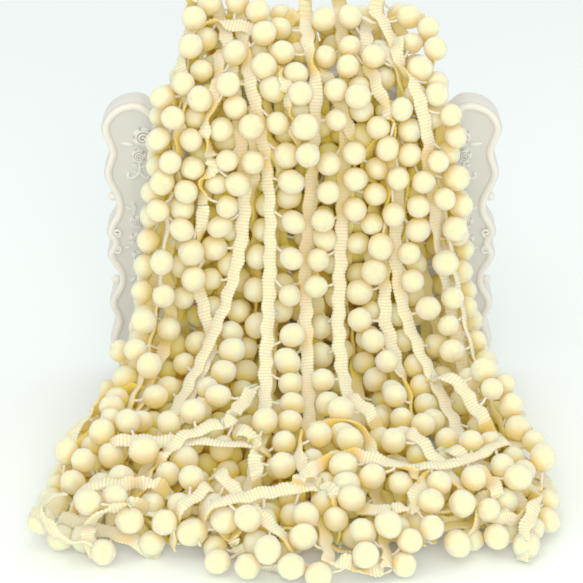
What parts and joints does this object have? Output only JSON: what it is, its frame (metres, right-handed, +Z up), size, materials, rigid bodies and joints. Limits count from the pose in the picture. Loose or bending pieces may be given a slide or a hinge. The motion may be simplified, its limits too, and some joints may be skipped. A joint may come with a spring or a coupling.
{
  "type": "pompom fringe trim on a display plaque",
  "caption": "Narrow ribbed woven tape with felted balls on short threads along one edge, hung in loops over a small upright plaque and spread out over the surface in front of it.",
  "frame": {"origin": "centre of the plaque's flat underside, on the surface that it stands on", "axes": "+Z up, +X to the right as the trim is looked at, -Y towards the side that the trim spreads to"},
  "size_m": [0.1895, 0.205, 0.1627],
  "materials": {
    "plaque": "off-white cast resin, satin",
    "trim": "cream felted balls on a ribbed cream tape"
  },
  "bodies": {
    "root": {"plaque": "plaque", "trim_left_edge": "trim", "trim_left_wall": "trim", "trim_left_long": "trim", "trim_left_fall": "trim", "trim_left_under": "trim", "trim_crest_loop": "trim", "trim_middle_fall": "trim", "trim_middle_under": "trim", "trim_right_fall": "trim", "trim_right_under": "trim", "trim_right_long": "trim", "trim_right_wall": "trim", "trim_right_edge": "trim", "trim_back_left_edge": "trim", "trim_back_left_long": "trim", "trim_back_left_under": "trim", "trim_back_middle_fall": "trim", "trim_back_right_fall": "trim", "trim_back_right_long": "trim", "trim_turn_left": "trim", "trim_turn_middle": "trim", "trim_turn_right": "trim", "trim_turn_front": "trim", "trim_turn_low": "trim", "trim_turn_side": "trim", "trim_turn_back_left": "trim", "trim_turn_toe_left": "trim", "trim_turn_toe_right": "trim"}
  },
  "joints": []
}
